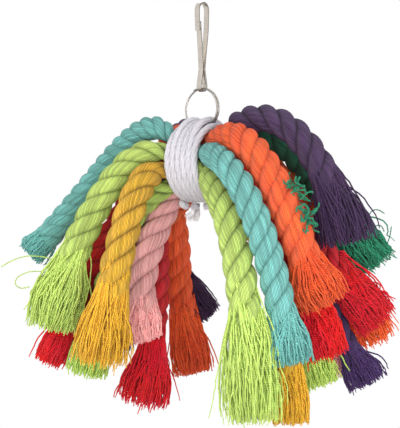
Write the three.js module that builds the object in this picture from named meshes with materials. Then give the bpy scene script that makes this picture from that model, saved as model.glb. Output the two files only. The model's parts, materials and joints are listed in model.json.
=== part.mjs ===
// Hanging rope toy for cage birds: twelve short lengths of laid cotton rope, bound together at the
// waist by a wound white cord, hung from a split ring and a spring-tongued clip.
// Millimetres, +Z up, seen from the front along +Y. The origin is the inside of the clip's top bend,
// where a cage bar carries the toy.
import * as THREE from "three";

const DEG = Math.PI / 180;

// Clip: one bent strip of spring steel
const STRIP_THICKNESS = 0.8;
const STRIP_WIDTH = 2.8;
const CLIP_WIDTH = 8.4;
const CLIP_HEIGHT = 45.0;
const CLIP_NOSE_DROP = 13.8;
const CLIP_NOSE_TUCK = 0.45;
const CLIP_SHOULDER_DROP = 26.4;
const CLIP_NECK_DROP = 33.0;
const CLIP_EYE_WIDTH = 5.6;
const TONGUE_TIP_DROP = 9.0;
const TONGUE_SHOULDER_DROP = 27.0;
const BEND_STEPS = 10;

// Split ring: a flat coil of round wire
const RING_OUTER_DIAMETER = 21.0;
const RING_WIRE = 0.9;
const RING_COIL_PITCH = 1.4;
const RING_TURNS = 1.7;
const RING_JOG = [0.7, 0.98];
const RING_START = 225 * DEG;
const RING_STEPS_PER_TURN = 28;
const RING_SIDES = 6;

// Binding: white cord wound round the waist of the bundle
const CORD_DIAMETER = 2.8;
const CORD_PITCH = 3.3;
const CORD_TURNS = 6;
const CORD_STEPS_PER_TURN = 24;
const CORD_SIDES = 6;
const RUN_BACK_ANGLES = [9 * DEG, 15 * DEG, 6 * DEG];
const KNOT_SIZE = [5.4, 5.4, 4.2];
const KNOT_ALONG = -4.0;
const TAIL_LENGTH = 4.0;
const TAIL_DIAMETER = 2.2;
const TAIL_SPACING = 3.0;
const TAIL_SPLAY = 1.6;
const TAIL_LEAN = 3.2;

// Bundle: nine ropes round three, lying at an angle to the front view and twisted by the binding
const BUNDLE_YAW = 38 * DEG;
const BUNDLE_TWIST = 40 * DEG;
const WAIST_ROPE_DIAMETER = 7.7;
const OUTER_ROPES = 9;
const INNER_ROPES = 3;
const WAIST_STEPS = 6;
const FIRST_OUTER_ANGLE = 30 * DEG;
const FIRST_INNER_ANGLE = 30 * DEG;

// Rope legs: they swell out of the binding and end in a combed-out tassel
const ROPE_DIAMETER = 13.0;
const SWELL_LENGTH = 17.0;
const SPREAD = 0.62;
const TASSEL_LENGTH = 38.0;
const TASSEL_END_DIAMETER = 27.0;
const LEG_SIDES = 8;
const LEG_STEPS = 15;
const MOST_TAPER = 0.7;

// Looks of the plain solids
const CLIP_METAL = { color: 0xc8c3b9, roughness: 0.3, metalness: 0.9 };
const RING_METAL = { color: 0xb9b6ae, roughness: 0.25, metalness: 1.0 };
const WHITE_COTTON = { color: 0xe8e4eb, roughness: 0.9, metalness: 0 };
const ROPE_ROUGHNESS = 0.92;

// Clearance between neighbours
const GAP = 0.3;
const SOFT_GAP = 0.6;

// Each rope: colour, then each leg's tassel tip, how far it runs straight on out of the binding,
// how far it hangs straight into its tip, and how much it leans in X and Y for each step down.
// A leg with a spread of its own turns outwards by that much as it leaves the binding.
const OUTER = [
  {
    name: "teal",
    colour: 0x6ec8be,
    left: { tip: [-89, 31, -126], shoulder: 32, hang: 53, lean: [-1.1, -0.27], spread: 1.2 },
    right: { tip: [42, -62, -176], shoulder: 58, hang: 80, lean: [0.16, -0.02], spread: 0.8 },
  },
  {
    name: "light_green",
    colour: 0xb4dc64,
    left: { tip: [-77, 6, -163], shoulder: 26, hang: 46, lean: [-0.27, 0.12] },
    right: { tip: [23, -66, -203], shoulder: 37, hang: 92, lean: [0.03, -0.02], spread: 0.9 },
  },
  {
    name: "yellow",
    colour: 0xebb432,
    left: { tip: [-51, -13, -178], shoulder: 14, hang: 93, lean: [-0.18, 0.26] },
    right: { tip: [43, -42, -206], shoulder: 34, hang: 90, lean: [0.05, 0] },
  },
  {
    name: "low_green",
    colour: 0xaad85f,
    left: { tip: [-59, 16, -187], shoulder: 26, hang: 80, lean: [-0.25, 0.15] },
    right: { tip: [57, -20, -190], shoulder: 30, hang: 85, lean: [0.3, 0] },
  },
  {
    name: "pink",
    colour: 0xeb9196,
    left: { tip: [-27, 6, -169], shoulder: 12, hang: 37, lean: [0.33, 0.07], spread: 0.4 },
    right: { tip: [62, 12, -188], shoulder: 34, hang: 75, lean: [0.35, 0.2] },
  },
  {
    name: "low_orange",
    colour: 0xf26a35,
    left: { tip: [-33, 45, -166], shoulder: 36, hang: 66, lean: [-0.03, 0.15], spread: 1.0 },
    right: { tip: [88, 28, -172], shoulder: 26, hang: 70, lean: [0.5, 0.15] },
  },
  {
    name: "dark_green",
    colour: 0x1e825a,
    left: { tip: [-66, 68, -164], shoulder: 18, hang: 40, lean: [0, 0.1] },
    right: { tip: [87, 8, -132], shoulder: 38, hang: 55, lean: [0.75, 0.1] },
  },
  {
    name: "purple",
    colour: 0x41285a,
    left: { tip: [2, 70, -162], shoulder: 80, hang: 95, lean: [0.78, -0.13], spread: 1.6 },
    right: { tip: [70, -36, -120], shoulder: 38, hang: 58, lean: [0.22, 0.02] },
  },
  {
    name: "orange",
    colour: 0xf55f2d,
    left: { tip: [-4, 58, -190], shoulder: 33, hang: 88, lean: [0.2, -0.1], spread: 0.5 },
    right: { tip: [59, -48, -149], shoulder: 66, hang: 25, lean: [0.63, 0.12], spread: 0.45 },
  },
];
const INNER = [
  {
    name: "red",
    colour: 0xe11923,
    left: { tip: [-79, 28, -182], shoulder: 26, hang: 75, lean: [-0.5, 0.15] },
    right: { tip: [62, -30, -175], shoulder: 28, hang: 75, lean: [0.35, 0] },
  },
  {
    name: "low_purple",
    colour: 0x46305f,
    left: { tip: [-46, 22, -174], shoulder: 22, hang: 80, lean: [-0.12, -0.15] },
    right: { tip: [82, -6, -190], shoulder: 28, hang: 80, lean: [0.5, 0.05] },
  },
  {
    name: "crimson",
    colour: 0xd81a26,
    left: { tip: [-31, 19, -201], shoulder: 45, hang: 63, lean: [-0.29, 0.23], spread: 0.45 },
    right: { tip: [88, -8, -160], shoulder: 24, hang: 50, lean: [0.8, 0.05], spread: 0.4 },
  },
];

const UP = new THREE.Vector3(0, 0, 1);
const DOWN = new THREE.Vector3(0, 0, -1);
const ALONG = new THREE.Vector3(Math.cos(BUNDLE_YAW), -Math.sin(BUNDLE_YAW), 0);
const FRONT = new THREE.Vector3(-Math.sin(BUNDLE_YAW), -Math.cos(BUNDLE_YAW), 0);

const group = new THREE.Group();

function add(name, geometry, look) {
  const mesh = new THREE.Mesh(geometry, new THREE.MeshStandardMaterial(look));
  mesh.name = name;
  group.add(mesh);
}

// A closed tube through stations, with a radius at each. A round start is half a ball whose centre
// is the first station, so that a leg can turn there without reaching its neighbour.
function tube(points, radii, sides, roundStart) {
  const count = points.length;
  const tangents = points.map((p, i) => {
    const before = points[Math.max(i - 1, 0)];
    const after = points[Math.min(i + 1, count - 1)];
    return after.clone().sub(before).normalize();
  });
  const side = new THREE.Vector3(1, 0, 0);
  if (Math.abs(tangents[0].x) > 0.8) side.set(0, 1, 0);
  let normal = side.sub(tangents[0].clone().multiplyScalar(side.dot(tangents[0]))).normalize();
  const rings = [];
  const ringAt = (centre, radius, tangent) => {
    normal = normal.clone().sub(tangent.clone().multiplyScalar(normal.dot(tangent))).normalize();
    const binormal = tangent.clone().cross(normal);
    const ring = [];
    for (let k = 0; k < sides; k++) {
      const angle = (2 * Math.PI * k) / sides;
      const out = normal.clone().multiplyScalar(Math.cos(angle) * radius);
      ring.push(out.addScaledVector(binormal, Math.sin(angle) * radius).add(centre));
    }
    rings.push(ring);
  };
  const back = roundStart ? radii[0] : 0;
  const startPole = points[0].clone().addScaledVector(tangents[0], -back);
  if (roundStart) {
    for (const rise of [60 * DEG, 30 * DEG]) {
      const centre = points[0].clone().addScaledVector(tangents[0], -back * Math.sin(rise));
      ringAt(centre, back * Math.cos(rise), tangents[0]);
    }
  }
  points.forEach((p, i) => ringAt(p, radii[i], tangents[i]));
  const vertices = [startPole, ...rings.flat(), points[count - 1]];
  const last = vertices.length - 1;
  const at = (ring, k) => 1 + ring * sides + (k % sides);
  const index = [];
  for (let k = 0; k < sides; k++) {
    index.push(0, at(0, k + 1), at(0, k));
    index.push(last, at(rings.length - 1, k), at(rings.length - 1, k + 1));
  }
  for (let ring = 0; ring + 1 < rings.length; ring++) {
    for (let k = 0; k < sides; k++) {
      index.push(at(ring, k), at(ring, k + 1), at(ring + 1, k));
      index.push(at(ring, k + 1), at(ring + 1, k + 1), at(ring + 1, k));
    }
  }
  const geometry = new THREE.BufferGeometry().setFromPoints(vertices);
  geometry.setIndex(index);
  geometry.computeVertexNormals();
  return geometry;
}

const evenTube = (points, diameter, sides) =>
  tube(points, points.map(() => diameter / 2), sides, false);

// The least distance between stretches of one route that lie further apart along it than `skip`
// steps, less its diameter.
function gapToItself(points, diameter, skip) {
  let least = Infinity;
  for (let i = 0; i < points.length; i++) {
    for (let j = i + skip; j < points.length; j++) {
      least = Math.min(least, points[i].distanceTo(points[j]));
    }
  }
  return least - diameter;
}

// The clip's strip: a flat centreline drawn as (across, up), thickened, given its width and turned
// square to the ring
function strip(centreline) {
  const half = STRIP_THICKNESS / 2;
  const outside = [];
  const inside = [];
  centreline.forEach((p, i) => {
    const before = centreline[Math.max(i - 1, 0)];
    const after = centreline[Math.min(i + 1, centreline.length - 1)];
    const normal = after.clone().sub(before).normalize().rotateAround(new THREE.Vector2(), Math.PI / 2);
    outside.push(p.clone().addScaledVector(normal, half));
    inside.unshift(p.clone().addScaledVector(normal, -half));
  });
  const shape = new THREE.Shape([...outside, ...inside]);
  const geometry = new THREE.ExtrudeGeometry(shape, { depth: STRIP_WIDTH, bevelEnabled: false });
  geometry.translate(0, 0, -STRIP_WIDTH / 2);
  geometry.rotateX(Math.PI / 2);
  geometry.rotateZ(Math.PI / 2 - BUNDLE_YAW);
  return geometry;
}

const arc = (x, y, radius, from, to, steps) =>
  Array.from({ length: steps + 1 }, (_, i) => {
    const angle = (from + ((to - from) * i) / steps) * DEG;
    return new THREE.Vector2(x + radius * Math.cos(angle), y + radius * Math.sin(angle));
  });

// Clip body: nose, top bend, back arm, pinched neck and the eye that holds the ring
const bendRadius = (CLIP_WIDTH - STRIP_THICKNESS) / 2;
const bendHeight = STRIP_THICKNESS / 2 - bendRadius;
const eyeRadius = (CLIP_EYE_WIDTH - STRIP_THICKNESS) / 2;
const eyeHeight = STRIP_THICKNESS / 2 - CLIP_HEIGHT + STRIP_THICKNESS + eyeRadius;
const neckHalf = STRIP_THICKNESS / 2 + GAP;
const clipBody = [
  new THREE.Vector2(-bendRadius + CLIP_NOSE_TUCK, -CLIP_NOSE_DROP),
  new THREE.Vector2(-bendRadius, -CLIP_NOSE_DROP / 2),
  ...arc(0, bendHeight, bendRadius, 180, 0, BEND_STEPS),
  new THREE.Vector2(bendRadius - CLIP_NOSE_TUCK, -CLIP_NOSE_DROP),
  new THREE.Vector2(neckHalf + STRIP_THICKNESS, -CLIP_SHOULDER_DROP),
  new THREE.Vector2(neckHalf, -CLIP_NECK_DROP),
  new THREE.Vector2((neckHalf + eyeRadius) / 2, (eyeHeight - CLIP_NECK_DROP) / 2),
  ...arc(0, eyeHeight, eyeRadius, 0, -180, BEND_STEPS),
  new THREE.Vector2(-(neckHalf + eyeRadius) / 2, (eyeHeight - CLIP_NECK_DROP) / 2),
  new THREE.Vector2(-neckHalf, -CLIP_NECK_DROP),
];
add("clip_body", strip(clipBody), CLIP_METAL);

// Spring tongue: from the neck up to the inside of the nose, where it rests and closes the clip
const tongueTop = -bendRadius + STRIP_THICKNESS + GAP;
const tongue = [
  new THREE.Vector2(-neckHalf, -CLIP_NECK_DROP + GAP),
  new THREE.Vector2(-neckHalf - STRIP_THICKNESS / 2, -TONGUE_SHOULDER_DROP),
  new THREE.Vector2(tongueTop + CLIP_NOSE_TUCK, -CLIP_NOSE_DROP),
  new THREE.Vector2(tongueTop, -TONGUE_TIP_DROP),
];
add("spring_tongue", strip(tongue), CLIP_METAL);

// Split ring: it hangs in the eye and carries the binding
const ringRadius = (RING_OUTER_DIAMETER - RING_WIRE) / 2;
const eyeInner = eyeRadius - STRIP_THICKNESS / 2;
const seatRadius = eyeInner - RING_WIRE / 2 - GAP;
const ringDrop = Math.sqrt(seatRadius ** 2 - (RING_COIL_PITCH / 2) ** 2);
const ringCentre = new THREE.Vector3(0, 0, eyeHeight - ringDrop - ringRadius);
const ringPoints = [];
const ringSteps = Math.round(RING_TURNS * RING_STEPS_PER_TURN);
for (let i = 0; i <= ringSteps; i++) {
  const turn = (i / ringSteps) * RING_TURNS;
  const angle = RING_START + turn * 2 * Math.PI;
  const point = ringCentre.clone().addScaledVector(ALONG, ringRadius * Math.cos(angle));
  point.addScaledVector(UP, ringRadius * Math.sin(angle));
  const jog = THREE.MathUtils.smoothstep(turn, ...RING_JOG);
  ringPoints.push(point.addScaledVector(FRONT, (jog - 0.5) * RING_COIL_PITCH));
}
add("split_ring", evenTube(ringPoints, RING_WIRE, RING_SIDES), RING_METAL);
const ringGap = gapToItself(ringPoints, RING_WIRE, RING_STEPS_PER_TURN / 2);
console.log(`split_ring: least gap to itself ${ringGap.toFixed(2)} mm`);

// Bundle sizes: the ropes lie side by side, and the binding lies on the outer ones
const waistHalf = (CORD_PITCH * CORD_TURNS) / 2 + CORD_DIAMETER / 2 + SOFT_GAP;
const waistPitch = WAIST_ROPE_DIAMETER + GAP;
const innerRadius = waistPitch / (2 * Math.sin(Math.PI / INNER_ROPES));
let outerRadius = innerRadius + waistPitch;
for (let round = 0; round < 8; round++) {
  const slant = Math.atan((outerRadius * BUNDLE_TWIST) / (2 * waistHalf));
  const chord = waistPitch / Math.cos(slant);
  outerRadius = Math.max(chord / (2 * Math.sin(Math.PI / OUTER_ROPES)), innerRadius + waistPitch);
}
const bundleRadius = outerRadius + WAIST_ROPE_DIAMETER / 2;
const ringBottom = ringCentre.z - RING_OUTER_DIAMETER / 2;
const bundleCentre = new THREE.Vector3(0, 0, ringBottom - GAP - bundleRadius);

// A point of the bundle: along its axis, and turned from the top towards the front
function inBundle(along, angle, radius) {
  const point = bundleCentre.clone().addScaledVector(ALONG, along);
  point.addScaledVector(FRONT, radius * Math.sin(angle));
  return point.addScaledVector(UP, radius * Math.cos(angle));
}

// Binding: the turns that pass through the ring rise over its wire
const cordRadius = bundleRadius + GAP + CORD_DIAMETER / 2;
const ringHeight = ringCentre.z - bundleCentre.z;
const insideRing = ringRadius - RING_WIRE / 2 - CORD_DIAMETER / 2 - SOFT_GAP;
const passesRing = (along) => Math.abs(along) < insideRing * 0.9;
function riseOverRing(along) {
  if (!passesRing(along)) return 0;
  const needed = ringHeight - Math.sqrt(insideRing ** 2 - along ** 2);
  return Math.max(0, needed - cordRadius);
}
const clearOfRing = Math.sqrt(
  Math.max(0, (ringRadius + RING_WIRE / 2 + CORD_DIAMETER / 2 + SOFT_GAP) ** 2
    - (ringHeight - cordRadius) ** 2),
);
const runBackRadius = cordRadius + CORD_DIAMETER + SOFT_GAP;
const cordPoints = [];
const cordSteps = CORD_TURNS * CORD_STEPS_PER_TURN;
for (let i = 0; i <= cordSteps; i++) {
  const turn = (i / cordSteps) * CORD_TURNS;
  const fromTop = (turn - Math.floor(turn) - 0.5) * 2 * Math.PI;
  const topAlong = (Math.min(Math.floor(turn), CORD_TURNS - 1) + 0.5 - CORD_TURNS / 2) * CORD_PITCH;
  const nearTop = Math.max(0, Math.cos(fromTop)) ** 3;
  const sideways = passesRing(topAlong) ? 0 : Math.max(0, clearOfRing - Math.abs(topAlong));
  const along = (turn - CORD_TURNS / 2) * CORD_PITCH + Math.sign(topAlong) * sideways * nearTop;
  cordPoints.push(inBundle(along, fromTop, cordRadius + riseOverRing(topAlong) * nearTop));
}
const cordEnd = (CORD_TURNS / 2) * CORD_PITCH;
const knotReach = KNOT_SIZE[0] / 2 + GAP + SOFT_GAP;
const runBack = (sign) => [
  inBundle(sign * cordEnd, Math.PI + sign * RUN_BACK_ANGLES[0], cordRadius + CORD_DIAMETER / 3),
  inBundle(sign * (cordEnd - CORD_DIAMETER / 2), Math.PI + sign * RUN_BACK_ANGLES[1], runBackRadius),
  inBundle(KNOT_ALONG + sign * knotReach, Math.PI + sign * RUN_BACK_ANGLES[2], runBackRadius + GAP),
];
cordPoints.unshift(...runBack(-1).reverse());
cordPoints.push(...runBack(1));
add("binding_cord", evenTube(cordPoints, CORD_DIAMETER, CORD_SIDES), WHITE_COTTON);
const cordGap = gapToItself(cordPoints, CORD_DIAMETER, CORD_STEPS_PER_TURN / 2);
console.log(`binding_cord: least gap to itself ${cordGap.toFixed(2)} mm`);

// Rope middles: straight-on lengths that the binding holds, twisted with the bundle
const ropes = [
  ...OUTER.map((rope, i) => ({
    ...rope,
    radius: outerRadius,
    angle: FIRST_OUTER_ANGLE + (i * 2 * Math.PI) / OUTER_ROPES,
  })),
  ...INNER.map((rope, i) => ({
    ...rope,
    radius: innerRadius,
    angle: FIRST_INNER_ANGLE + (i * 2 * Math.PI) / INNER_ROPES,
  })),
];
const cotton = (colour) => ({ color: colour, roughness: ROPE_ROUGHNESS, metalness: 0 });
const angleAt = (rope, along) => rope.angle + BUNDLE_TWIST * (along / waistHalf + 1) / 2;
const middleHalf = waistHalf - WAIST_ROPE_DIAMETER / 2 - GAP;
for (const rope of ropes) {
  const points = [];
  for (let i = 0; i <= WAIST_STEPS; i++) {
    const along = middleHalf * ((2 * i) / WAIST_STEPS - 1);
    points.push(inBundle(along, angleAt(rope, along), rope.radius));
  }
  add(`${rope.name}_waist`, evenTube(points, WAIST_ROPE_DIAMETER, LEG_SIDES), cotton(rope.colour));
}

// Rope legs: each leaves the binding along its rope, spreads, bends over and hangs to its tip
function legCurve(rope, side) {
  const leg = side > 0 ? rope.right : rope.left;
  const root = inBundle(side * waistHalf, angleAt(rope, side * waistHalf), rope.radius);
  const inwards = inBundle(side * (waistHalf - 1), angleAt(rope, side * (waistHalf - 1)), rope.radius);
  const outwards = root.clone().sub(inBundle(side * waistHalf, 0, 0));
  outwards.multiplyScalar((leg.spread ?? SPREAD) / outerRadius);
  const start = root.clone().sub(inwards).normalize().add(outwards).normalize();
  const tip = new THREE.Vector3(...leg.tip);
  const end = new THREE.Vector3(...leg.lean, -1).normalize();
  return new THREE.CubicBezierCurve3(
    root,
    root.clone().addScaledVector(start, leg.shoulder),
    tip.clone().addScaledVector(end, -leg.hang),
    tip,
  );
}

const legs = ropes.flatMap((rope) =>
  [-1, 1].map((side) => {
    const curve = legCurve(rope, side);
    return {
      name: `${rope.name}_${side > 0 ? "right" : "left"}_leg`,
      colour: rope.colour,
      length: curve.getLength(),
      points: curve.getSpacedPoints(LEG_STEPS),
      fine: curve.getSpacedPoints(LEG_STEPS * 4),
    };
  }),
);

const ease = (t) => {
  const x = THREE.MathUtils.clamp(t, 0, 1);
  return x * x * (3 - 2 * x);
};

// Soft rope is squeezed where legs crowd each other: a leg takes at most half the room
function legRadii(leg) {
  const step = leg.length / LEG_STEPS;
  const radii = leg.points.map((point, i) => {
    const along = i * step;
    const swell = ease(along / SWELL_LENGTH);
    const flare = ease((along - leg.length + TASSEL_LENGTH) / TASSEL_LENGTH);
    const rope = THREE.MathUtils.lerp(WAIST_ROPE_DIAMETER, ROPE_DIAMETER, swell);
    const full = THREE.MathUtils.lerp(rope, TASSEL_END_DIAMETER, flare) / 2;
    let room = Infinity;
    for (const other of legs) {
      if (other === leg) continue;
      for (const near of other.fine) room = Math.min(room, point.distanceTo(near));
    }
    return Math.min(full, (room - SOFT_GAP) / 2);
  });
  radii[0] = WAIST_ROPE_DIAMETER / 2;
  for (let i = 1; i < radii.length; i++) radii[i] = Math.min(radii[i], radii[i - 1] + MOST_TAPER * step);
  for (let i = radii.length - 2; i > 0; i--) radii[i] = Math.min(radii[i], radii[i + 1] + MOST_TAPER * step);
  return radii;
}
for (const leg of legs) {
  add(leg.name, tube(leg.points, legRadii(leg), LEG_SIDES, true), cotton(leg.colour));
}

// Knot that ties the two ends of the binding under the waist, with its two loose tails
const knotRadius = cordRadius + CORD_DIAMETER / 2 + GAP + KNOT_SIZE[2] / 2;
const knotCentre = inBundle(KNOT_ALONG, Math.PI, knotRadius);
const knot = new THREE.SphereGeometry(0.5, 12, 8);
knot.scale(...KNOT_SIZE);
knot.rotateZ(-BUNDLE_YAW);
knot.translate(knotCentre.x, knotCentre.y, knotCentre.z);
add("binding_knot", knot, WHITE_COTTON);
for (const [name, sign] of [["front", 1], ["back", -1]]) {
  const top = knotCentre.clone().addScaledVector(UP, -KNOT_SIZE[2] / 2 - GAP);
  top.addScaledVector(FRONT, (sign * TAIL_SPACING) / 2);
  const points = [0, 0.35, 0.7, 1].map((t) => {
    const point = top.clone().addScaledVector(DOWN, TAIL_LENGTH * t);
    point.addScaledVector(ALONG, -TAIL_LEAN * t * t);
    return point.addScaledVector(FRONT, sign * TAIL_SPLAY * t * t);
  });
  add(`binding_tail_${name}`, evenTube(points, TAIL_DIAMETER, CORD_SIDES), WHITE_COTTON);
}

export default group;
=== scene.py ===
# %% [markdown]
# A hanging rope toy for cage birds. Twelve lengths of laid cotton rope are gathered at the waist,
# a white cord is wound round them, and their ends are combed out into tassels.
# The imported CAD model is the frame: it says where every rope runs, and it stays in the simulation.
# Here each plain tube becomes real rope. We load the frame first, and can read the box of any of
# its parts. What we make may stand only a little proud of it.

# %% Load the frame
import json
import math
from functools import partial

import bpy
import numpy as np
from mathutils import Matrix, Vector

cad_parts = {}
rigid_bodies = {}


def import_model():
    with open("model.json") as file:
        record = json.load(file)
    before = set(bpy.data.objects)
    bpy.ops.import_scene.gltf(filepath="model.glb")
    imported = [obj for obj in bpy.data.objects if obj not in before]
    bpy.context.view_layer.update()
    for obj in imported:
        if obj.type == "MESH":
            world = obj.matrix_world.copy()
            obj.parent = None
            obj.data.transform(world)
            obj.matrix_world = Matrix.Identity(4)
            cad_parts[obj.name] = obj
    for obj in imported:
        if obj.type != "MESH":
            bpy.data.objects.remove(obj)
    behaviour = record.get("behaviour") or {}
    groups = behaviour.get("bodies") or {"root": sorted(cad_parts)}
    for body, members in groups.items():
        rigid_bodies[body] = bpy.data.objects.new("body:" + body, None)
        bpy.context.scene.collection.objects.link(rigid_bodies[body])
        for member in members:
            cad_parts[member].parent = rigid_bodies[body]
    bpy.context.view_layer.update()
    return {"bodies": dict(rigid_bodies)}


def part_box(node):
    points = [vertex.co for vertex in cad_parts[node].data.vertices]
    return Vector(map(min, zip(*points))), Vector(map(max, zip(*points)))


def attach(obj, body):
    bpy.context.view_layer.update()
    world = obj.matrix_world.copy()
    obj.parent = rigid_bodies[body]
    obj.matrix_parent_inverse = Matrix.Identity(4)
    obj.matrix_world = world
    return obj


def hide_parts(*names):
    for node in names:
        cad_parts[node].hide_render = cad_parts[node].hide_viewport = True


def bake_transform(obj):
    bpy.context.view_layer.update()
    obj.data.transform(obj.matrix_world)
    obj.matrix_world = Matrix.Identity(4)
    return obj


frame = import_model()
scene = bpy.context.scene
scene.view_settings.view_transform = "Standard"
MM = 0.001

# %% [markdown]
# The photograph looks level at the toy from far away, so that the ropes hardly change in size with
# depth. A long lens one metre off gives that view. The picture is 400 by 428 and shows 214 mm from
# top to bottom, which sets the focal length on a 36 mm sensor.

# %% Camera
VIEW_HEIGHT = 214 * MM
CAMERA_DISTANCE = 1000 * MM
SENSOR = 36
AIM = Vector((-1 * MM, 0, -105.25 * MM))
camera_data = bpy.data.cameras.new("camera")
camera_data.sensor_width = SENSOR
camera_data.lens = SENSOR * CAMERA_DISTANCE / VIEW_HEIGHT
camera_data.clip_start = 0.01
camera_data.clip_end = 10
camera = bpy.data.objects.new("camera", camera_data)
camera.location = AIM + Vector((0, -CAMERA_DISTANCE, 0))
camera.rotation_euler = (math.pi / 2, 0, 0)
scene.collection.objects.link(camera)
scene.camera = camera
print("camera: lens", round(camera_data.lens, 1), "mm")

# %% [markdown]
# The ropes are gathered in a bundle that lies level, with its right end turned towards the camera.
# Nine ropes lie round three, and the whole bundle is twisted. A place in it is given by how far along
# its axis it lies, by an angle from the top towards the front, and by a distance from the middle. The
# sizes are those of the CAD model, in millimetres.

# %% The bundle
BUNDLE_YAW = math.radians(38)
BUNDLE_TWIST = math.radians(40)
BUNDLE_CENTRE = np.array([0, 0, -79.754])
WAIST_HALF = 11.9
OUTER_RADIUS, INNER_RADIUS = 12.619, 4.619
WAIST_ROPE_DIAMETER = 7.7
ALONG = np.array([math.cos(BUNDLE_YAW), -math.sin(BUNDLE_YAW), 0])
FRONT = np.array([-math.sin(BUNDLE_YAW), -math.cos(BUNDLE_YAW), 0])
UP = np.array([0, 0, 1.0])


def in_bundle(along, angle, radius):
    """A point of the bundle: along its axis, and turned from the top towards the front."""
    across = FRONT * radius * math.sin(angle) + UP * radius * math.cos(angle)
    return BUNDLE_CENTRE + ALONG * along + across


def turned(first, along):
    """The angle of a rope of the twisted bundle at a place along it."""
    return first + BUNDLE_TWIST * (along / WAIST_HALF + 1) / 2


bundle_thickness = 2 * OUTER_RADIUS + WAIST_ROPE_DIAMETER
print("bundle:", round(bundle_thickness, 1), "mm thick,", 2 * WAIST_HALF, "mm long inside the binding")

# %% [markdown]
# Every rope leg follows the same kind of route as its CAD solid: out of the binding along its own
# length, over in one bend, and down to the tip of its tassel. A cubic Bezier with four points gives
# that bend. The values for each leg are the tip, how far it runs straight on out of the binding, how
# far it hangs straight into its tip, and how it leans in X and Y for each step down. Some legs turn
# outwards more or less than the rest as they leave the binding, and have a spread of their own.

# %% Routes of the rope legs
FIRST_ANGLE = math.radians(30)
SPREAD = 0.62
BEZIER_STEPS, ROUTE_POINTS = 400, 121
OUTER_ROPES = {
    "teal": (((-89, 31, -126), 32, 53, (-1.1, -0.27), 1.2), ((42, -62, -176), 58, 80, (0.16, -0.02), 0.8)),
    "light_green": (((-77, 6, -163), 26, 46, (-0.27, 0.12)), ((23, -66, -203), 37, 92, (0.03, -0.02), 0.9)),
    "yellow": (((-51, -13, -178), 14, 93, (-0.18, 0.26)), ((43, -42, -206), 34, 90, (0.05, 0))),
    "low_green": (((-59, 16, -187), 26, 80, (-0.25, 0.15)), ((57, -20, -190), 30, 85, (0.3, 0))),
    "pink": (((-27, 6, -169), 12, 37, (0.33, 0.07), 0.4), ((62, 12, -188), 34, 75, (0.35, 0.2))),
    "low_orange": (((-33, 45, -166), 36, 66, (-0.03, 0.15), 1.0), ((88, 28, -172), 26, 70, (0.5, 0.15))),
    "dark_green": (((-66, 68, -164), 18, 40, (0, 0.1)), ((87, 8, -132), 38, 55, (0.75, 0.1))),
    "purple": (((2, 70, -162), 80, 95, (0.78, -0.13), 1.6), ((70, -36, -120), 38, 58, (0.22, 0.02))),
    "orange": (((-4, 58, -190), 33, 88, (0.2, -0.1), 0.5), ((59, -48, -149), 66, 25, (0.63, 0.12), 0.45)),
}
INNER_ROPES = {
    "red": (((-79, 28, -182), 26, 75, (-0.5, 0.15)), ((62, -30, -175), 28, 75, (0.35, 0))),
    "low_purple": (((-46, 22, -174), 22, 80, (-0.12, -0.15)), ((82, -6, -190), 28, 80, (0.5, 0.05))),
    "crimson": (((-31, 19, -201), 45, 63, (-0.29, 0.23), 0.45), ((88, -8, -160), 24, 50, (0.8, 0.05), 0.4)),
}


def even_points(points, count):
    """The same line through evenly spaced points."""
    steps = np.linalg.norm(np.diff(points, axis=0), axis=1)
    run = np.concatenate([[0], np.cumsum(steps)])
    places = np.linspace(0, run[-1], count)
    return np.stack([np.interp(places, run, points[:, k]) for k in range(3)], axis=1), run[-1]


def unit(vector):
    """The same direction with a length of one."""
    return vector / np.linalg.norm(vector)


def leg_route(first, radius, side, tip, shoulder, hang, lean, spread=SPREAD):
    """Evenly spaced points of a leg from the binding to its tip, in millimetres."""
    edge = side * WAIST_HALF
    root = in_bundle(edge, turned(first, edge), radius)
    inwards = in_bundle(edge - side, turned(first, edge - side), radius)
    outwards = (root - in_bundle(edge, 0, 0)) * spread / OUTER_RADIUS
    start = unit(unit(root - inwards) + outwards)
    end = unit(np.array([lean[0], lean[1], -1.0]))
    tip = np.array(tip, float)
    knots = np.array([root, root + start * shoulder, tip - end * hang, tip])
    t = np.linspace(0, 1, BEZIER_STEPS)[:, None]
    weights = np.hstack([(1 - t) ** 3, 3 * t * (1 - t) ** 2, 3 * t * t * (1 - t), t**3])
    return even_points(weights @ knots, ROUTE_POINTS)


def bundled_ropes():
    """Each rope with its two routes, its angle in the bundle and its distance from the middle."""
    for ring_of_ropes, radius in ((OUTER_ROPES, OUTER_RADIUS), (INNER_ROPES, INNER_RADIUS)):
        for place, (rope, routes) in enumerate(ring_of_ropes.items()):
            yield rope, routes, FIRST_ANGLE + place * 2 * math.pi / len(ring_of_ropes), radius


legs = {}
for rope, routes, first, radius in bundled_ropes():
    for side, route in zip((-1, 1), routes):
        points, length = leg_route(first, radius, side, *route)
        name = rope + ("_right_leg" if side > 0 else "_left_leg")
        legs[name] = {"rope": rope, "points": points, "length": length}
lengths = [leg["length"] for leg in legs.values()]
print("legs:", len(legs), "from", round(min(lengths)), "to", round(max(lengths)), "mm long")

# %% [markdown]
# Soft rope gives way where legs crowd each other, so a leg takes half the room to its neighbours'
# lines, and a little more where yarns squeeze together. It swells from its squeezed size in the
# binding to its full size, and the last stretch opens out into the tassel. Each leg gets two widths:
# one for the rope and one for the bunch of loose yarns. A table says what differs from leg to leg:
# the girth as a share of the usual, the length and width of the tassel and the lay of the rope in
# millimetres, how soon the tassel is fully open as a share of its length, and how frizzy it is.

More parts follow.
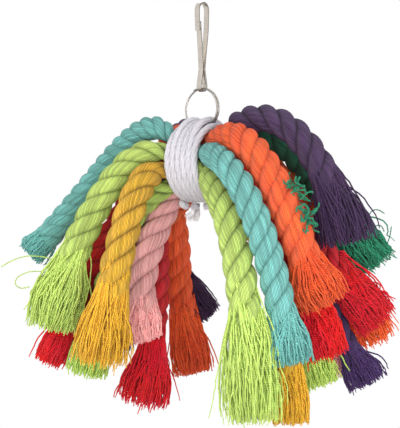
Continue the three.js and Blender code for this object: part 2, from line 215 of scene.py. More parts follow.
# %% Widths of the rope legs
SOFT_DIAMETER, SWELL_LENGTH = 13.6, 15.0
SLACK_DIAMETER, SLACK_LENGTH = 15.4, 70.0
USUAL_LOOKS = {"girth": 0.96, "tassel": 38.0, "width": 32.0, "flare": 1.0, "lay": 24.0, "frizz": 1.0}
LEG_LOOKS = {
    "teal_left_leg": {"girth": 0.92, "tassel": 15.0, "width": 17.0, "lay": 18.0},
    "light_green_left_leg": {"girth": 1.05, "tassel": 46.0, "width": 35.0, "flare": 0.7, "lay": 30.0,
                             "frizz": 1.3},
    "yellow_left_leg": {"girth": 1.1, "tassel": 50.0, "lay": 31.0},
    "low_green_left_leg": {"width": 24.0, "lay": 29.0},
    "pink_left_leg": {"girth": 1.2, "tassel": 20.0, "width": 25.0, "lay": 29.0},
    "low_orange_left_leg": {"girth": 0.8},
    "orange_left_leg": {"girth": 1.2, "width": 25.0},
    "red_left_leg": {"width": 18.0},
    "teal_right_leg": {"tassel": 30.0, "width": 27.0, "frizz": 1.25},
    "light_green_right_leg": {"girth": 1.04, "tassel": 66.0, "flare": 0.6, "lay": 30.0, "frizz": 1.6},
    "yellow_right_leg": {"width": 23.0},
    "low_green_right_leg": {"frizz": 1.5},
    "low_orange_right_leg": {"width": 34.0},
    "dark_green_right_leg": {"girth": 1.32, "frizz": 2.2},
    "purple_right_leg": {"girth": 1.0, "tassel": 46.0, "lay": 26.0},
    "orange_right_leg": {"girth": 1.1, "tassel": 36.0, "frizz": 1.3},
    "red_right_leg": {"width": 38.0, "frizz": 1.8},
    "low_purple_right_leg": {"girth": 0.74, "tassel": 24.0, "width": 25.0},
    "crimson_right_leg": {"girth": 1.25, "width": 42.0, "frizz": 1.9},
}
LEAST_RADIUS = 5.2
ROPE_SQUEEZE, BUNCH_SQUEEZE = 1.2, 9.0
SOFTEN_SPAN = 9


def softened(widths):
    """The running mean of widths along a leg, with the same count of them."""
    padded = np.pad(widths, SOFTEN_SPAN // 2, mode="edge")
    return np.convolve(padded, np.ones(SOFTEN_SPAN) / SOFTEN_SPAN, mode="valid")


def eased(x):
    """A soft step from 0 to 1."""
    x = np.clip(x, 0, 1)
    return x * x * (3 - 2 * x)


for name, leg in legs.items():
    looks = {**USUAL_LOOKS, **LEG_LOOKS.get(name, {})}
    loose = looks["tassel"]
    others = np.concatenate([other["points"] for key, other in legs.items() if key != name])
    room = np.array([np.linalg.norm(others - p, axis=1).min() for p in leg["points"]])
    along = np.linspace(0, leg["length"], len(leg["points"]))
    swell = WAIST_ROPE_DIAMETER + (SOFT_DIAMETER - WAIST_ROPE_DIAMETER) * eased(along / SWELL_LENGTH)
    swell = swell + (SLACK_DIAMETER - SOFT_DIAMETER) * eased((along - SWELL_LENGTH) / SLACK_LENGTH)
    swell = swell * looks["girth"]
    flare = eased((along - leg["length"] + loose) / loose / looks["flare"])
    bunch = swell + (looks["width"] - swell) * flare
    rope_room = np.maximum((room + ROPE_SQUEEZE) / 2, LEAST_RADIUS)
    bunch_room = np.maximum((room + BUNCH_SQUEEZE) / 2, LEAST_RADIUS)
    leg["along"], leg["looks"] = along, looks
    leg["rope_radius"] = softened(np.minimum(swell / 2, rope_room))
    leg["bunch_radius"] = softened(np.minimum(bunch / 2, bunch_room))
all_radii = np.concatenate([leg["rope_radius"] for leg in legs.values()])
print("rope radius from", round(all_radii.min(), 1), "to", round(all_radii.max(), 1), "mm")

# %% [markdown]
# Geometry Nodes will make the rope, because a laid rope is one rule repeated along a path. A few
# small helpers keep the trees readable: some add a node and plug values or other nodes into its
# sockets, two calculate, and one stores a value on the mesh. The function tools hands out five of
# them for one tree, and we call those add, make, calc, vec and save.

# %% Helpers for node trees
SIGNS = {"+": "ADD", "-": "SUBTRACT", "*": "MULTIPLY", "/": "DIVIDE"}


def plug(tree, socket, value):
    """Fill a socket with a value, or link it to another node's output."""
    if isinstance(value, bpy.types.NodeSocket):
        tree.links.new(value, socket)
    else:
        socket.default_value = value


def put(tree, kind, sockets=None, **settings):
    """Add a node, give it its settings, and fill its sockets by name or identifier."""
    node = tree.nodes.new(kind)
    for key, value in settings.items():
        setattr(node, key, value)
    for key, value in (sockets or {}).items():
        found = [s for s in node.inputs if s.identifier == key]
        found = found or [s for s in node.inputs if s.name == key and s.enabled]
        plug(tree, found[0], value)
    return node


def put_all(tree, kind, sockets=None, **settings):
    """Add a node and give all its outputs."""
    return put(tree, kind, sockets, **settings).outputs


def put_one(tree, kind, sockets=None, **settings):
    """Add a node and give its first output."""
    return put(tree, kind, sockets, **settings).outputs[0]


def math_node(tree, operation, *values):
    """Calculate with numbers: the operation is a sign, or the name that Blender gives it."""
    node = put(tree, "ShaderNodeMath", operation=SIGNS.get(operation, operation))
    for socket, value in zip(node.inputs, values):
        plug(tree, socket, value)
    return node.outputs[0]


def vector_node(tree, operation, *values, scale=None):
    """Calculate with vectors. Only the operation SCALE has a scale."""
    node = put(tree, "ShaderNodeVectorMath", operation=SIGNS.get(operation, operation))
    for socket, value in zip(node.inputs, values):
        plug(tree, socket, value)
    if scale is not None:
        plug(tree, node.inputs["Scale"], scale)
    return node.outputs["Value"] if operation in ("DOT_PRODUCT", "LENGTH") else node.outputs["Vector"]


def store(tree, geometry, name, kind, value):
    """Write a value on every point, so that a material or a later node can read it by name."""
    node = put(tree, "GeometryNodeStoreNamedAttribute", {"Geometry": geometry, "Name": name},
               data_type=kind, domain="POINT")
    plug(tree, [s for s in node.inputs if s.name == "Value" and s.enabled][0], value)
    return node.outputs["Geometry"]


def tools(tree):
    """The helpers above, each for one tree."""
    return [partial(helper, tree) for helper in (put_all, put_one, math_node, vector_node, store)]


print("node helpers: add, make, calc, vec and save")

# %% [markdown]
# A tree takes in a path and the sizes that may differ from piece to piece, and gives out a mesh. All
# our trees end alike: a profile is swept along curves, and the result is shaded smooth, made real and
# given its material.

# %% Helpers to begin and end a tree


def new_tree(name, inputs):
    """A geometry tree with one geometry in, one out, and named inputs with their usual sizes."""
    tree = bpy.data.node_groups.new(name, "GeometryNodeTree")
    tree.interface.new_socket("Path", in_out="INPUT", socket_type="NodeSocketGeometry")
    for label, kind, usual in inputs:
        socket = tree.interface.new_socket(label, in_out="INPUT", socket_type="NodeSocket" + kind)
        if usual is not None:
            socket.default_value = usual
    tree.interface.new_socket("Mesh", in_out="OUTPUT", socket_type="NodeSocketGeometry")
    return tree, tree.nodes.new("NodeGroupInput").outputs, tree.nodes.new("NodeGroupOutput").inputs


def sweep(tree, curve, profile, scale, given, result):
    """End a tree: sweep a profile along its curves, smooth it, make it real and set its material."""
    mesh = put_one(tree, "GeometryNodeCurveToMesh",
                   {"Curve": curve, "Profile Curve": profile, "Fill Caps": True, "Scale": scale})
    smooth = put_one(tree, "GeometryNodeSetShadeSmooth", {"Geometry": mesh})
    real = put_one(tree, "GeometryNodeRealizeInstances", {"Geometry": smooth})
    plug(tree, result["Mesh"], put_one(tree, "GeometryNodeSetMaterial",
                                       {"Geometry": real, "Material": given["Material"]}))


print("tree helpers: new_tree and sweep")

# %% [markdown]
# A laid rope is three strands wound round each other to the right, so that they climb like the
# middle stroke of a Z. The tree copies the path once for each strand, pushes each copy out from the
# middle and round it, and sweeps a round along it that is pressed a little wider against its
# neighbours. It also writes what the cotton finish needs: where a point lies round its strand, with
# the crown of the strand first, and how far along it is.

# %% Tree for laid rope
ROPE_INPUTS = [
    ("Lay", "Float", 24 * MM),
    ("Slackening", "Float", 0.0),
    ("Strands", "Int", 3),
    ("Strand Fullness", "Float", 0.48),
    ("Strand Sides", "Int", 20),
    ("Step", "Float", 1.0 * MM),
    ("Material", "Material", None),
]
STRAND_PRESS = (1.0, 1.07, 1.0)
laid_rope, given, result = new_tree("laid_rope", ROPE_INPUTS)
add, make, calc, vec, save = tools(laid_rope)
even = make("GeometryNodeResampleCurve", {"Curve": given["Path"], "Length": given["Step"]},
            mode="LENGTH")
framed = make("GeometryNodeSetCurveNormal", {"Curve": even}, mode="MINIMUM_TWIST")
copies = add("GeometryNodeDuplicateElements", {"Geometry": framed, "Amount": given["Strands"]},
             domain="SPLINE")
run = add("GeometryNodeSplineParameter")
radius = make("GeometryNodeInputRadius")
tangent = make("GeometryNodeInputTangent")
normal = make("GeometryNodeInputNormal")
slack = calc("-", 1.0, calc("*", run["Factor"], given["Slackening"]))
wound = calc("*", calc("/", run["Length"], given["Lay"]), slack)
laps = calc("+", wound, calc("/", copies["Duplicate Index"], given["Strands"]))
angle = calc("*", laps, 2 * math.pi)
sideways = vec("CROSS_PRODUCT", tangent, normal)
outward = vec("+", vec("SCALE", normal, scale=calc("COSINE", angle)),
              vec("SCALE", sideways, scale=calc("SINE", angle)))
strands = save(copies["Geometry"], "outward", "FLOAT_VECTOR", outward)
strands = save(strands, "girth", "FLOAT", radius)
throw = calc("*", radius, calc("-", 1.0, given["Strand Fullness"]))
strands = make("GeometryNodeSetPosition",
               {"Geometry": strands, "Offset": vec("SCALE", outward, scale=throw)})
facing = make("GeometryNodeInputNamedAttribute", {"Name": "outward"}, data_type="FLOAT_VECTOR")
strands = make("GeometryNodeSetCurveNormal", {"Curve": strands, "Normal": facing}, mode="FREE")
strands = save(strands, "along", "FLOAT", run["Length"])
girth = make("GeometryNodeInputNamedAttribute", {"Name": "girth"}, data_type="FLOAT")
circle = make("GeometryNodeCurvePrimitiveCircle",
              {"Resolution": given["Strand Sides"], "Radius": 1.0})
circle = save(circle, "turn", "FLOAT_VECTOR", make("GeometryNodeInputPosition"))
pressed = make("GeometryNodeTransform", {"Geometry": circle, "Scale": STRAND_PRESS})
sweep(laid_rope, strands, pressed, calc("*", girth, given["Strand Fullness"]), given, result)
print("laid_rope:", len(laid_rope.nodes), "nodes")

# %% [markdown]
# At its end the rope is combed out. Each tassel is a bunch of loose yarns that start inside the
# three strands, spread out, draw together in locks and end at ragged lengths. One straight line is
# copied for every yarn, and the next cells lay it along the leg's own path. What differs from yarn to
# yarn comes from seeded random numbers, each draw with a number of its own.

# %% Tree for a combed-out tassel
TASSEL_INPUTS = [
    ("Yarns", "Int", 300),
    ("Yarn Radius", "Float", 0.4 * MM),
    ("Yarn Points", "Int", 15),
    ("Start", "Float", 0.6),
    ("Late Leavers", "Float", 0.4),
    ("Lay", "Float", 24 * MM),
    ("Ragged", "Float", 0.16),
    ("Locks", "Int", 26),
    ("Lock Pull", "Float", 0.24),
    ("Wave", "Float", 2.2 * MM),
    ("Crinkle", "Float", 0.9 * MM),
    ("Strays", "Float", 0.05),
    ("Seed", "Int", 1),
    ("Material", "Material", None),
]
tassel, given, result = new_tree("combed_tassel", TASSEL_INPUTS)
add, make, calc, vec, save = tools(tassel)
line = make("GeometryNodeCurvePrimitiveLine", {"End": (0, 0, 1)})
line = make("GeometryNodeResampleCurve", {"Curve": line, "Count": given["Yarn Points"]},
            mode="COUNT")
copies = add("GeometryNodeDuplicateElements", {"Geometry": line, "Amount": given["Yarns"]},
             domain="SPLINE")
yarn = copies["Duplicate Index"]
step = add("GeometryNodeSplineParameter")["Factor"]


def chance(low, high, identity, draw):
    """A seeded random number that belongs to one yarn or one lock, and to one draw."""
    seed = calc("+", given["Seed"], float(draw))
    drawn = {"Min_001": low, "Max_001": high, "ID": identity, "Seed": seed}
    return add("FunctionNodeRandomValue", drawn, data_type="FLOAT")[1]


def around(angle, distance):
    """A place in the bunch, as a flat vector, from an angle and a distance from its middle."""
    return make("ShaderNodeCombineXYZ", {"X": calc("*", calc("COSINE", angle), distance),
                                         "Y": calc("*", calc("SINE", angle), distance)})


def between(first, second, amount):
    """The vector that lies an amount of the way from one vector to another."""
    return vec("+", first, vec("SCALE", vec("-", second, first), scale=amount))


print("combed_tassel:", len(TASSEL_INPUTS), "inputs")

# %% [markdown]
# A yarn starts in one of the three strands and moves out to a place of its own in the bunch. Yarns
# cling together in locks, so each is also drawn to the place of its lock, more so towards its end. A
# few strays stand out further than the rest. All of this is flat, in shares of the bunch's radius.

# %% Places of the yarns in the bunch
STRANDS, NEARLY = 3.0, 0.001
STRAND_REACH, STRAND_ROOM = 0.46, 0.4
SPREAD_RATE, SPREAD_SOFT = 1.6, 0.1
LOCK_NEAREST, STRAY_REACH = 0.05, 0.45
path_length = make("GeometryNodeCurveLength", {"Curve": given["Path"]})
strand = calc("FLOOR", chance(0.0, STRANDS - NEARLY, yarn, 1))
laps = calc("/", calc("*", path_length, given["Start"]), given["Lay"])
strand_angle = calc("*", calc("+", calc("/", strand, STRANDS), laps), 2 * math.pi)
own_angle = chance(0.0, 2 * math.pi, yarn, 2)
own_place = around(own_angle, calc("SQRT", chance(0.0, 1.0, yarn, 3)))
root = vec("+", around(strand_angle, STRAND_REACH), vec("SCALE", own_place, scale=STRAND_ROOM))
lock = calc("FLOOR", calc("*", chance(0.0, 1 - NEARLY, yarn, 4), given["Locks"]))
lock_reach = calc("SQRT", chance(LOCK_NEAREST, 1.0, lock, 6))
lock_place = around(chance(0.0, 2 * math.pi, lock, 5), lock_reach)
spread = between(root, own_place, calc("SMOOTH_MIN", calc("*", step, SPREAD_RATE), 1.0, SPREAD_SOFT))
pull = calc("*", calc("*", step, step), given["Lock Pull"])
place = between(spread, lock_place, pull)
stray = calc("LESS_THAN", chance(0.0, 1.0, yarn, 7), given["Strays"])
loose = calc("*", calc("*", stray, step), STRAY_REACH)
place = vec("SCALE", place, scale=calc("+", 1.0, loose))
print("combed_tassel:", len(tassel.nodes), "nodes with the places")

# %% [markdown]
# The yarns leave the rope one after another and end at ragged lengths, so each has its own stretch of
# the path. The path is sampled along that stretch for the middle of the bunch, its direction and its
# radius, and the yarn's flat place becomes an offset from that middle.

# %% Lengths of the yarns
RAGGED_BIAS = 1.6
shorter = calc("*", given["Ragged"], calc("POWER", chance(0.0, 1.0, yarn, 8), RAGGED_BIAS))
loose_share = calc("-", 1.0, given["Start"])
end_at = calc("-", 1.0, calc("*", shorter, loose_share))
late = calc("*", chance(0.0, 1.0, yarn, 10), given["Late Leavers"])
leave_at = calc("+", given["Start"], calc("*", late, loose_share))
where = calc("+", leave_at, calc("*", step, calc("-", end_at, leave_at)))
sample = add("GeometryNodeSampleCurve",
             {"Curves": given["Path"], "Value": make("GeometryNodeInputRadius"),
              "Factor": where}, mode="FACTOR", data_type="FLOAT")
flat = add("ShaderNodeSeparateXYZ", {"Vector": place})
sideways = vec("CROSS_PRODUCT", sample["Tangent"], sample["Normal"])
offset = vec("+", vec("SCALE", sample["Normal"], scale=flat["X"]),
             vec("SCALE", sideways, scale=flat["Y"]))
offset = vec("SCALE", offset, scale=sample["Value"])
print("combed_tassel:", len(tassel.nodes), "nodes with the lengths")

# %% [markdown]
# Yarn that was laid in a rope stays wavy. A slow noise bends each yarn more and more towards its free
# end, and most of all the strays, and a quicker noise crinkles it. Last, a small profile with four
# sides is swept along every yarn, thinner towards the tip.

# %% Waves of the yarns
WAVE_RATE, YARN_RATE, SEED_RATE = 2.6, 3.71, 1.37
WAVE_DETAIL, WAVE_GAIN, STRAY_GAIN = 1.5, 2.0, 2.0
CRINKLE_RATES, CRINKLE_RISE, CRINKLE_SOFT = (5.0, 1.7, 1.0), 4.0, 0.2
YARN_SIDES, YARN_ROOT, YARN_TAPER, TAPER_POWER = 4, 1.05, 0.45, 4.0
MIDDLE = (0.5, 0.5, 0.5)
noise_at = make("ShaderNodeCombineXYZ", {"X": calc("*", step, WAVE_RATE),
                                         "Y": calc("*", yarn, YARN_RATE),
                                         "Z": calc("*", given["Seed"], SEED_RATE)})
noise = add("ShaderNodeTexNoise", {"Vector": noise_at, "Scale": 1.0, "Detail": WAVE_DETAIL})["Color"]
stray_wave = calc("+", WAVE_GAIN, calc("*", stray, STRAY_GAIN))
wave_size = calc("*", given["Wave"], calc("*", stray_wave, step))
wave = vec("SCALE", vec("-", noise, MIDDLE), scale=wave_size)
crinkle_at = vec("*", noise_at, CRINKLE_RATES)
crinkle = add("ShaderNodeTexNoise", {"Vector": crinkle_at, "Scale": 1.0, "Detail": 0.0})["Color"]
risen = calc("SMOOTH_MIN", calc("*", step, CRINKLE_RISE), 1.0, CRINKLE_SOFT)
crinkle = vec("SCALE", vec("-", crinkle, MIDDLE), scale=calc("*", given["Crinkle"], risen))
wave = vec("+", wave, crinkle)
yarn_at = vec("+", sample["Position"], vec("+", offset, wave))
yarns = make("GeometryNodeSetPosition", {"Geometry": copies["Geometry"], "Position": yarn_at})
yarns = save(yarns, "along", "FLOAT", add("GeometryNodeSplineParameter")["Length"])
yarns = save(yarns, "tone", "FLOAT", chance(0.0, 1.0, yarn, 9))
circle = make("GeometryNodeCurvePrimitiveCircle", {"Resolution": YARN_SIDES, "Radius": 1.0})
circle = save(circle, "turn", "FLOAT_VECTOR", make("GeometryNodeInputPosition"))
thin = calc("-", YARN_ROOT, calc("*", calc("POWER", step, TAPER_POWER), YARN_TAPER))
sweep(tassel, yarns, circle, calc("*", given["Yarn Radius"], thin), given, result)
print("combed_tassel:", len(tassel.nodes), "nodes")

# %% [markdown]
# A finish is made once, as a shader group, and several materials use it with values of their own.
# One helper makes a group with named inputs and outputs. The other makes a material that takes its
# colour, and its relief as a bump, from such a group.

# %% Helpers for finishes


def new_group(name, inputs, outputs):
    """A shader group with named inputs and outputs, each with its kind."""
    group = bpy.data.node_groups.new(name, "ShaderNodeTree")
    for way, sockets in (("INPUT", inputs), ("OUTPUT", outputs)):
        for label, kind in sockets.items():
            group.interface.new_socket(label, in_out=way, socket_type="NodeSocket" + kind)
    return group, group.nodes.new("NodeGroupInput").outputs, group.nodes.new("NodeGroupOutput").inputs


def group_material(name, group, values, fixed, relief, strength):
    """A material with fixed values on its shader, whose colour and relief come from a group."""
    material = bpy.data.materials.new(name)
    material.use_nodes = True
    tree = material.node_tree
    shader = tree.nodes["Principled BSDF"].inputs
    for label, value in fixed.items():
        shader[label].default_value = value
    finish = put_all(tree, "ShaderNodeGroup", values, node_tree=group)
    for output, label in (("Colour", "Base Color"), ("Roughness", "Roughness")):
        if output in finish:
            tree.links.new(finish[output], shader[label])
    bump = {"Height": finish["Height"], "Distance": relief, "Strength": strength}
    tree.links.new(put_one(tree, "ShaderNodeBump", bump), shader["Normal"])
    return material


print("finish helpers: new_group and group_material")

# %% [markdown]
# Dyed cotton is dull and a little furry. Each strand is a bundle of fine yarns. The colour is painted
# lighter on the crests of the yarns and darker, as painted shade, in the lines between them and in the
# grooves between strands. One node group gives the colour and the height for rope and tassel alike.
# It reads the place round the strand and the length along it, so the yarn lines follow the rope round
# every bend.

# %% Dyed cotton, with painted light and shade
WOBBLE_SCALE, SLOW_SCALE, FIBRE_RATES = 260.0, 70.0, (1.7, 700.0)
# The ridge light paints a highlight on the crests of the yarns.
LINE_WOBBLE, RIDGE_POWER, RIDGE_LIGHT = 0.6, 1.8, 1.4
GROOVE_FROM, CROWN_FROM = -0.35, 0.7
RIDGE_SHARE, FIBRE_SHARE = 0.75, 0.25
FIBRE_LIGHT, SLOW_LIGHT, TONE_LIGHT = (0.74, 1.28), (0.92, 1.1), (1.0, 1.12)
# The ridge saturation makes the colour deeper in the painted shade of the lines between yarns.
HUE_DRIFT, RIDGE_SHADE_SATURATION = (0.494, 0.506), (1.06, 0.98)
cotton, given, result = new_group(
    "shaded_dyed_cotton", {"Dye": "Color", "Yarns Round": "Float", "Lean": "Float", "Groove Shade": "Float",
                    "Line Shade": "Float", "Yarn Change": "Float"}, {"Colour": "Color", "Height": "Float"})
add, make, calc = tools(cotton)[:3]


def attribute(name, output):
    """What a node tree has stored on the mesh under a name."""
    return add("ShaderNodeAttribute", attribute_name=name)[output]


def lerp(amount, low, high):
    """A number between low and high, for an amount between 0 and 1."""
    return make("ShaderNodeMapRange", {"Value": amount, "To Min": low, "To Max": high})


def noise(at, scale, detail):
    """A cloudy number between 0 and 1 that changes from place to place."""
    return add("ShaderNodeTexNoise", {"Vector": at, "Scale": scale, "Detail": detail})["Fac"]


turn = add("ShaderNodeSeparateXYZ", {"Vector": attribute("turn", "Vector")})
along = attribute("along", "Fac")
angle = calc("/", calc("ARCTAN2", turn["Y"], turn["X"]), 2 * math.pi)
lines = calc("+", calc("*", angle, given["Yarns Round"]), calc("*", along, given["Lean"]))
place = add("ShaderNodeTexCoord")["Object"]
lines = calc("+", lines, lerp(noise(place, WOBBLE_SCALE, detail=1.0), -LINE_WOBBLE, LINE_WOBBLE))
within = calc("FRACT", lines)
middle = calc("-", calc("*", within, 2.0), 1.0)
ridge = calc("-", 1.0, calc("POWER", calc("ABSOLUTE", middle), RIDGE_POWER))
which = calc("FLOOR", lines)
one_yarn = add("ShaderNodeTexWhiteNoise", {"W": which}, noise_dimensions="1D")["Value"]
fibre_at = make("ShaderNodeCombineXYZ", {"X": calc("*", lines, FIBRE_RATES[0]),
                                         "Y": calc("*", along, FIBRE_RATES[1]),
                                         "Z": attribute("tone", "Fac")})
fibre = noise(fibre_at, 1.0, detail=3.0)
slow = noise(place, SLOW_SCALE, detail=2.0)
# Painted shade: the colour darkens from the crown of a strand into the grooves between strands.
crown = make("ShaderNodeMapRange", {"Value": turn["X"], "From Min": GROOVE_FROM, "From Max": CROWN_FROM},
             interpolation_type="SMOOTHSTEP")
groove_shade = calc("+", 1.0, calc("*", given["Groove Shade"], calc("-", crown, 1.0)))
# Painted shade in the lines between the yarns, and a painted highlight on their crests.
shaded_line = calc("-", 1.0, given["Line Shade"])
yarn_tone = calc("+", 1.0, calc("*", lerp(one_yarn, -1.0, 1.0), given["Yarn Change"]))
light = calc("*", lerp(ridge, shaded_line, RIDGE_LIGHT), yarn_tone)
light = calc("*", light, lerp(fibre, *FIBRE_LIGHT))
light = calc("*", light, lerp(slow, *SLOW_LIGHT))
light = calc("*", light, lerp(attribute("tone", "Fac"), *TONE_LIGHT))
light = calc("*", light, groove_shade)
# The dye with its painted light and shade, and with its random changes of tone.
dyed_and_shaded = make("ShaderNodeHueSaturation",
            {"Hue": lerp(slow, *HUE_DRIFT), "Saturation": lerp(ridge, *RIDGE_SHADE_SATURATION), "Value": light,
             "Color": given["Dye"]})
plug(cotton, result["Colour"], dyed_and_shaded)
plug(cotton, result["Height"], calc("+", calc("*", ridge, RIDGE_SHARE),
                                    calc("*", fibre, FIBRE_SHARE)))
print("shaded_dyed_cotton:", len(cotton.nodes), "nodes")

# %% [markdown]
# Each rope has its own dye. Its loose yarns are the same cotton, but they lie open and catch more or
# less light than the rope does, so each gets its own share of the rope's dye as painted light and shade.
# The dark green rope's dye is darker than its cotton, as painted shadow, and its loose yarn is lifted
# back out of it. A deeper groove shade paints the hollows between the strands darker.

# %% Dyes of the ropes
COTTON_SHADER = {"Roughness": 0.9, "Specular IOR Level": 0.2, "Sheen Weight": 0.22, "Sheen Roughness": 0.45}
BUMP_STRENGTH = 0.9


def linear(red, green, blue):
    """A colour as the eye reads it on a screen, turned into the linear values of the shader."""
    return [((c / 255 + 0.055) / 1.055) ** 2.4 if c > 10 else c / 3294 for c in (red, green, blue)] + [1.0]


def cotton_material(name, dye, yarns_round, lean, groove_shade, line_shade, yarn_change, relief):
    """Cotton in one dye, with painted shade in the lines of its yarns and in its grooves, and the height of
    its relief.
    """
    values = {"Dye": dye, "Yarns Round": yarns_round, "Lean": lean, "Groove Shade": groove_shade,
              "Line Shade": line_shade, "Yarn Change": yarn_change}
    tint = {"Sheen Tint": [0.5 + c / 2 for c in dye[:3]] + [1.0]}
    return group_material(name, cotton, values, {**COTTON_SHADER, **tint}, relief, BUMP_STRENGTH)


DYES = {
    "teal": (120, 190, 183), "light_green": (192, 217, 112), "yellow": (228, 176, 54),
    "low_green": (190, 220, 108), "pink": (254, 184, 184), "crimson": (214, 26, 40),
    # The dark green is darker than its cotton, as painted shadow on the whole rope.
    "dark_green": (26, 90, 66), "purple": (78, 54, 92), "orange": (246, 98, 50),
    "red": (224, 26, 36), "low_purple": (74, 50, 100), "low_orange": (246, 106, 52),
}
# The share of the rope's dye that each loose yarn gets, as painted light and shade; the dark green lifts its
# loose yarn back out of the rope's painted shadow.
LOOSE_PAINTED_LIGHT = {"orange": 0.72, "teal": 0.78, "purple": 0.62, "dark_green": 2.2}
USUAL_PAINTED_LIGHT = 0.91
# How much painted shade falls into the grooves between strands, for some ropes and for the rest.
ROPE_GROOVE_SHADE = {"purple": 0.9, "orange": 0.5, "pink": 0.5, "light_green": 0.58}
USUAL_GROOVE_SHADE = 0.66
ROPE_LINES = {"yarns_round": 27.0, "lean": 1700.0, "yarn_change": 0.28, "relief": 0.9 * MM}
LOOSE_YARN = {"yarns_round": 2.0, "lean": 900.0, "groove_shade": 0.0}
LOOSE_LINES = {"line_shade": 0.5, "yarn_change": 0.2, "relief": 0.15 * MM}
rope_cotton, loose_cotton = {}, {}
for rope, colour in DYES.items():
    # The painted shade in the grooves is also the painted shade in the lines between the yarns.
    shade_strength = ROPE_GROOVE_SHADE.get(rope, USUAL_GROOVE_SHADE)
    rope_cotton[rope] = cotton_material(rope + "_rope", linear(*colour), groove_shade=shade_strength, line_shade=shade_strength,
                                        **ROPE_LINES)
    # The loose yarn's colour is the rope's dye, scaled as painted light and shade.
    loose_light = LOOSE_PAINTED_LIGHT.get(rope, USUAL_PAINTED_LIGHT)
    painted_loose_dye = [loose_light * channel for channel in linear(*colour)[:3]] + [1.0]
    loose_cotton[rope] = cotton_material(rope + "_yarn", painted_loose_dye, **LOOSE_YARN, **LOOSE_LINES)
print("cotton:", len(rope_cotton), "dyes")

# %% [markdown]
# A tree works on a curve. So each piece starts as a path with a width at every point, the tree grows
# the piece on it, and we keep the evaluated result as a plain mesh, which anything can read later.

# %% Growing a piece on its path


def path_curve(name, lines, radii):
    """A curve of poly lines in millimetres, with a radius in millimetres at each of their points."""
    data = bpy.data.curves.new(name, "CURVE")
    data.dimensions = "3D"
    for line, girths in zip(lines, radii):
        spline = data.splines.new("POLY")
        spline.points.add(len(line) - 1)
        for place, point, girth in zip(spline.points, line, girths):
            place.co = (*[float(x) * MM for x in point], 1)
            place.radius = float(girth) * MM
    return data


def grow(name, lines, radii, tree, values):
    """Run a tree on one or more lines and keep what it makes as one plain mesh object."""
    carrier = bpy.data.objects.new(name + "_path", path_curve(name + "_path", lines, radii))
    scene.collection.objects.link(carrier)
    modifier = carrier.modifiers.new("grow", "NODES")
    modifier.node_group = tree
    for item in tree.interface.items_tree:
        if item.in_out == "INPUT" and item.name in values:
            modifier[item.identifier] = values[item.name]
    graph = bpy.context.evaluated_depsgraph_get()
    mesh = bpy.data.meshes.new_from_object(carrier.evaluated_get(graph), depsgraph=graph)
    carrier.modifiers.remove(modifier)
    bpy.data.objects.remove(carrier)
    mesh.name = name
    piece = bpy.data.objects.new(name, mesh)
    scene.collection.objects.link(piece)
    return piece


print("ready to grow", len(legs), "legs")

# %% [markdown]
# Now the legs. The rope runs from inside the binding to the heart of its tassel, where it thins out
# as its yarns leave it. Six legs can be lifted on the real toy and in the frame: their tassels ride on
# the leg's own body, and their rope stays where it is, as a plain mesh. All the others ride on the
# bundle. We also keep each rope's length, and a diameter that goes into that length several times.

# %% Rope legs and their tassels
ROPE_DIAMETER = 13.0
CORE_END = 6.0
LEAST_DIAMETERS = 6.1
HIDDEN_YARN = 4.0
CORE_LOSS, CORE_RUN = 0.5, 0.85
SLACKENING = 0.12
TASSEL_YARNS, USUAL_WAVE, USUAL_CRINKLE = 380, 1.8, 0.8
FIRST_SEED, SEED_STEP = 3, 11
jointed = {body for body in frame["bodies"] if body.endswith("_leg")}
triangles = 0
for order, (name, leg) in enumerate(legs.items()):
    rope, length, along, looks = leg["rope"], leg["length"], leg["along"], leg["looks"]
    inside = along <= length - CORE_END
    path = leg["points"][inside]
    thinning = looks["tassel"] * CORE_RUN
    core = 1 - CORE_LOSS * eased((along - length + thinning) / (thinning - CORE_END))
    radii = (leg["rope_radius"] * core)[inside]
    cord = grow(name + "_rope", [path], [radii], laid_rope,
                {"Material": rope_cotton[rope], "Lay": looks["lay"] * MM, "Slackening": SLACKENING})
    bunch = grow(name + "_tassel", [leg["points"]], [leg["bunch_radius"]], tassel,
                 {"Material": loose_cotton[rope], "Yarns": TASSEL_YARNS,
                  "Seed": SEED_STEP * order + FIRST_SEED,
                  "Start": 1 - (looks["tassel"] + HIDDEN_YARN) / length,
                  "Wave": USUAL_WAVE * looks["frizz"] * MM, "Crinkle": USUAL_CRINKLE * looks["frizz"] * MM})
    body = name if name in jointed else "bundle"
    if body == "bundle":
        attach(cord, "bundle")
    else:
        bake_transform(cord)
    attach(bunch, body)
    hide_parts(name)
    for piece in (cord, bunch):
        triangles += sum(len(p.vertices) - 2 for p in piece.data.polygons)
    run = float(np.linalg.norm(np.diff(path, axis=0), axis=1).sum())
    girth = min(2 * float(np.median(radii)), ROPE_DIAMETER, run / LEAST_DIAMETERS)
    leg.update(cord=cord, path=path, run=run, girth=girth, loose_pieces=[bunch])
print("legs:", len(legs), "with", triangles, "triangles")

# %% [markdown]
# Handling pulls a few threads loose. Some curl away from the light green tassel on the left and from
# the dark green one on the right. The tree of the ropes makes them too, as thin yarn of two strands,
# on smoothed lines through given points.

